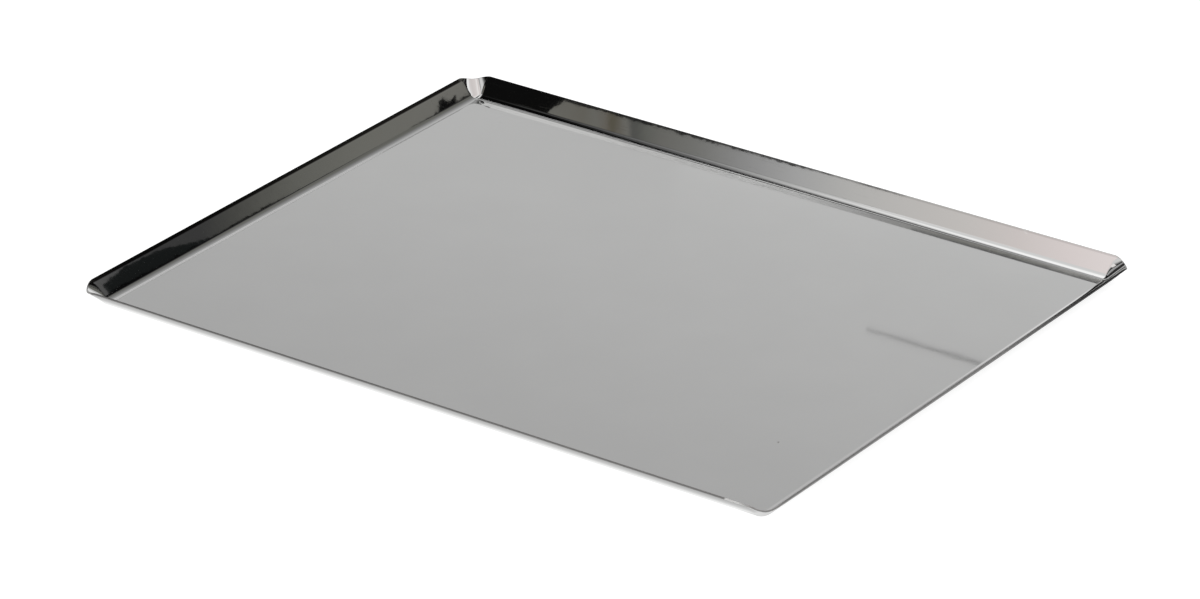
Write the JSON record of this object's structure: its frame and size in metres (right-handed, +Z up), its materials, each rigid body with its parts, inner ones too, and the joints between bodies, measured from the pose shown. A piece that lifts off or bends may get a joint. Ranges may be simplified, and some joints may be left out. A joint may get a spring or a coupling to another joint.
{
  "type": "cookie sheet",
  "caption": "Flat rectangular baking sheet of polished stainless steel with a low flared wall all round, rounded corners and a plain cut rim.",
  "frame": {"origin": "middle of the underside, on the surface that the sheet stands on", "axes": "+X along the long side, +Y along the short side, +Z up out of the open side"},
  "size_m": [0.4, 0.32, 0.01],
  "materials": {
    "polished_steel": "stainless steel polished almost to a mirror, with a faint fine grain"
  },
  "bodies": {
    "root": {"cookie_sheet": "polished_steel"}
  },
  "joints": []
}
